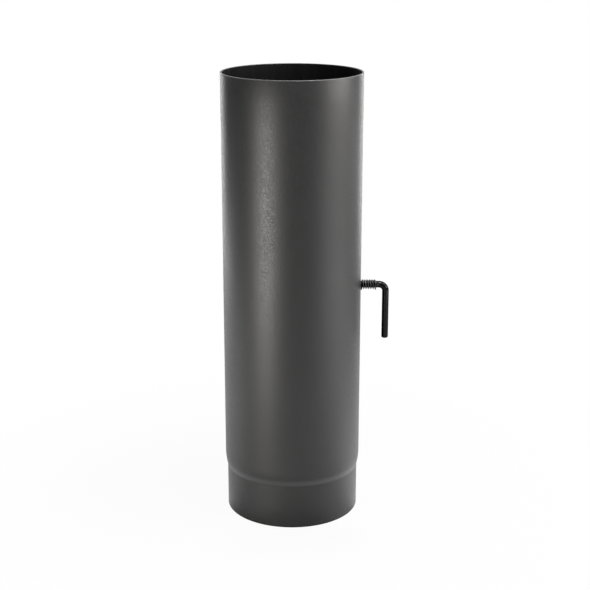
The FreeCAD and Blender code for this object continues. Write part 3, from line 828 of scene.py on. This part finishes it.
class STOVE_OT_spring(bpy.types.Operator):
    """Winds the spring round the spindle, with a straight wire end hanging at each side"""

    bl_idname = "stove.spring"
    bl_label = "Handle spring"

    def coil(self, settings, start, turns):
        """A point on the wire's centre line and its direction away from the spindle."""
        along = start + turns * (settings.wire + settings.coil_gap)
        radius = settings.rod_radius + settings.spring_play + settings.wire / 2
        away = Vector((0, math.cos(FULL * turns), math.sin(FULL * turns)))
        return Vector((along, 0, TURN_AXIS.z)) + away * radius, away

    def execute(self, context):
        settings = context.scene.stove_pipe.handle
        pipe = context.scene.stove_pipe.pipe
        wire_radius = settings.wire / 2
        start = pipe.main_radius + settings.seat_gap + wire_radius + settings.foot_lean
        count = round(settings.turns * COIL_STEPS)
        turns = [settings.turns * number / count for number in range(count + 1)]
        line = [self.coil(settings, start, turn) for turn in turns]
        (first, behind), (last, before) = line[0], line[-1]
        foot = first - Vector((settings.foot_lean, 0, settings.foot_length))
        tail = last - Vector((0, 0, settings.tail_length))
        line = [(foot, behind), *line, (tail, before)]
        steps = len(line) - 1
        vertices = []
        for number, (place, away) in enumerate(line):
            ahead, astern = line[min(number + 1, steps)][0], line[max(number - 1, 0)][0]
            run = (ahead - astern).normalized()
            side = (away - run * away.dot(run)).normalized()
            other = run.cross(side)
            for point in range(WIRE_POINTS):
                turn = FULL * point / WIRE_POINTS
                outwards = side * math.cos(turn) + other * math.sin(turn)
                vertices.append(place + outwards * wire_radius)
        faces = tube_faces(len(line), WIRE_POINTS)
        piece = new_piece("handle_coil_spring", vertices, faces, spring_finish(settings))
        smooth(piece, ROD_CRISP_DEGREES)
        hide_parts("handle_spring")
        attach(piece, "damper")
        return {"FINISHED"}


# Blade and pin

class STOVE_OT_throttle(bpy.types.Operator):
    """Gives the throttle blade and its split pin their finishes"""

    bl_idname = "stove.throttle"
    bl_label = "Throttle blade and pin"

    def execute(self, context):
        settings = context.scene.stove_pipe.throttle
        finishes = {
            "damper_blade": blade_finish(settings),
            "blade_split_pin": pin_finish(settings),
        }
        for node, finish in finishes.items():
            mesh = frame["nodes"][node].data
            mesh.materials.clear()
            mesh.materials.append(finish)
        return {"FINISHED"}


# Stage: distances are from the pipe's axis, and bearings run from -1 before it to 1 behind it

FLOOR_REACH = 6.0
GLOW_DISTANCES = (0.1, 0.55)
SHADE, SHADE_DISTANCES, SHADE_BEARINGS = 0.45, (0.08, 0.18), (-0.98, -0.6)
LEFT_TO_RIGHT = (-0.2, 0.2)
LEFT_DISTANCES = (0.2, 0.45)
BEHIND_BEARINGS, BEHIND_CUT, BEHIND_RIGHT = (0.0, 0.6), 0.9, 0.4
BRIGHT_DISTANCES = (0.3, 0.8)
WHITE_BEARINGS = (-0.65, 0.1)
BACKDROP_BEARINGS = (0.3, 0.95)


def seen_rays(start, mirrored):
    """1 for rays that show the background: the camera's, those through glass, some reflected."""
    camera, glossy, through = (
        start.add("ShaderNodeLightPath", output=f"Is {kind} Ray")
        for kind in ("Camera", "Glossy", "Transmission")
    )
    shown = camera.maths("MAXIMUM", camera, through)
    return shown.maths("MAXIMUM", shown, glossy * mirrored)


def floor_finish(settings):
    """A pale matt floor, nearly white to the camera, with the shadow left on it.

    Reflections show it white beside and behind the pipe, and brighter still close by.
    """
    material, start, place = new_finish("pale_floor")
    distance = start.add("ShaderNodeVectorMath", {0: place}, output="Value", operation="LENGTH")
    bearing = coordinate(start, place, "Y") / distance
    right = step(start, coordinate(start, place, "X"), *LEFT_TO_RIGHT)

    front = fade(start, distance, *SHADE_DISTANCES) * fade(start, bearing, *SHADE_BEARINGS)
    pale = start.add("ShaderNodeBsdfDiffuse", {"Color": rgba(settings.floor)})
    shaded = start.add("ShaderNodeBsdfDiffuse", {"Color": rgba(settings.floor, SHADE)})
    matt = mix_shaders(start, front, pale, shaded)

    clear = right + (1.0 - right) * step(start, distance, *LEFT_DISTANCES)
    behind = step(start, bearing, *BEHIND_BEARINGS) * (BEHIND_CUT - right * BEHIND_RIGHT)
    near = fade(start, distance, *BRIGHT_DISTANCES) * (1.0 - behind) * clear
    glossy = start.add("ShaderNodeLightPath", output="Is Glossy Ray")
    white = start.add("ShaderNodeEmission", {"Color": WHITE, "Strength": 1.0})
    strength = 1.0 + settings.floor_bright
    bright = start.add("ShaderNodeEmission", {"Color": WHITE, "Strength": strength})
    lit = mix_shaders(start, glossy * near, white, bright)

    sweep = fade(start, distance, settings.sweep_near, settings.sweep_far)
    mirrored = step(start, bearing, *WHITE_BEARINGS) * sweep
    shadow = 1.0 - settings.floor_glow
    glow = step(start, distance, *GLOW_DISTANCES) * shadow + settings.floor_glow
    shown = seen_rays(start, mirrored) * glow
    start.add("ShaderNodeOutputMaterial", {"Surface": mix_shaders(start, shown, matt, lit)})
    return material


class STOVE_OT_stage(bpy.types.Operator):
    """Sets the floor, the soft light and the camera"""

    bl_idname = "stove.stage"
    bl_label = "Stage"

    def floor(self, settings):
        """Lays the floor."""
        far = FLOOR_REACH
        corners = [(-far, -far, 0), (far, -far, 0), (far, far, 0), (-far, far, 0)]
        new_piece("floor", corners, [(0, 1, 2, 3)], floor_finish(settings))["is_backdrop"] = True

    def backdrop(self, scene, settings):
        """Gives the world a white backdrop and soft light from all round."""
        scene.world = bpy.data.worlds.new("studio")
        start = new_tree(scene.world)
        dim = {"Color": WHITE, "Strength": settings.ambient}
        soft = start.add("ShaderNodeBackground", dim)
        white = start.add("ShaderNodeBackground", {"Color": WHITE, "Strength": 1.0})
        place = start.add("ShaderNodeTexCoord", output="Generated")
        mirrored = step(start, coordinate(start, place, "Y"), *BACKDROP_BEARINGS)
        mixed = mix_shaders(start, seen_rays(start, mirrored), soft, white)
        start.add("ShaderNodeOutputWorld", {"Surface": mixed})

    def softbox(self, name, place, aim, size, power, tint):
        """A soft rectangular lamp that faces a point."""
        lamp = bpy.data.lights.new(name, "AREA")
        lamp.shape = "RECTANGLE"
        lamp.size, lamp.size_y = size
        lamp.energy = power
        lamp.color = tint
        box = bpy.data.objects.new(name, lamp)
        box.location = place
        box.rotation_euler = (Vector(aim) - Vector(place)).to_track_quat("-Z", "Y").to_euler()
        bpy.context.scene.collection.objects.link(box)

    def lamps(self, settings):
        """Hangs the lamps: name, place, aim, width and height, power and colour."""
        plain, warm = WHITE[:3], settings.warm_lamp
        key, side, high = settings.key_power, settings.side_power, settings.high_power
        card, panel, low = settings.card_power, settings.panel_power, settings.low_panel_power
        rim, overhead = settings.rim_power, settings.overhead_power
        for lamp in (
            ("left_softbox", (-0.63, -0.71, 0.15), (0, 0, 0.15), (0.36, 0.2), key, warm),
            ("right_softbox", (0.98, -0.21, 0.5), (0, 0, 0.5), (0.7, 0.22), side, warm),
            ("high_softbox", (0.85, -0.1, 1.05), (0.1, 0, 0.26), (0.4, 0.4), high, plain),
            ("right_card", (0.84, -0.3, 0.07), (0, 0, 0.07), (0.8, 0.12), card, plain),
            ("left_panel", (-0.78, 0.58, 0.05), (0, 0, 0.05), (0.3, 0.1), panel, plain),
            ("right_panel", (0.82, 0.44, 0.25), (0, 0, 0.25), (0.4, 0.3), panel, plain),
            ("left_low_panel", (-0.55, 0.1, 0.08), (0, 0, 0.12), (0.35, 0.16), low, plain),
            ("left_back_strip", (-0.64, 1.05, 0.31), (0, 0, 0.31), (0.2, 0.62), rim, plain),
            ("right_back_strip", (0.64, 1.05, 0.31), (0, 0, 0.31), (0.2, 0.62), rim, plain),
            ("overhead", (0.3, -0.3, 1.5), (0.1, 0, 0.25), (0.6, 0.6), overhead, plain),
        ):
            self.softbox(*lamp)

    def camera(self, scene, settings):
        """Sets up the photograph's camera."""
        camera_data = bpy.data.cameras.new("camera")
        camera_data.sensor_width = SENSOR_WIDTH
        camera_data.lens = settings.focal_pixels * SENSOR_WIDTH / FRAME_PIXELS
        camera = bpy.data.objects.new("camera", camera_data)
        camera.location = (0, -settings.camera_distance, settings.camera_height)
        camera.rotation_euler = (QUARTER - settings.camera_tilt, 0, -settings.camera_turn)
        scene.collection.objects.link(camera)
        scene.camera = camera

    def execute(self, context):
        settings = context.scene.stove_pipe.stage
        self.floor(settings)
        self.backdrop(context.scene, settings)
        self.lamps(settings)
        self.camera(context.scene, settings)
        context.scene.view_settings.view_transform = "Standard"
        return {"FINISHED"}


# Sidebar and start

class STOVE_PT_sidebar(bpy.types.Panel):
    """Lists the steps that build the stove pipe damper"""

    bl_idname = "STOVE_PT_sidebar"
    bl_label = "Stove Pipe Damper"
    bl_space_type = "VIEW_3D"
    bl_region_type = "UI"
    bl_category = "Stove Pipe"

    def draw(self, context):
        for operator in OPERATORS:
            self.layout.operator(operator.bl_idname)


SETTINGS = (PipeSettings, HandleSettings, ThrottleSettings, StageSettings, DamperSettings)
OPERATORS = (STOVE_OT_pipe, STOVE_OT_handle, STOVE_OT_spring, STOVE_OT_throttle, STOVE_OT_stage)
CLASSES = (*SETTINGS, *OPERATORS, STOVE_PT_sidebar)


def register():
    for item in CLASSES:
        bpy.utils.register_class(item)
    bpy.types.Scene.stove_pipe = bpy.props.PointerProperty(type=DamperSettings)


def unregister():
    del bpy.types.Scene.stove_pipe
    for item in reversed(CLASSES):
        bpy.utils.unregister_class(item)


def main():
    """Builds every piece in order and works out the CAD box and the dressed box."""
    register()
    bpy.ops.stove.pipe()
    bpy.ops.stove.handle()
    bpy.ops.stove.spring()
    bpy.ops.stove.throttle()
    bpy.ops.stove.stage()
    boxes = {"cad": CAD_BOX, "visual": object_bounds()}
    {name: [list(corner) for corner in box] for name, box in boxes.items()}


if __name__ == "__main__":
    main()
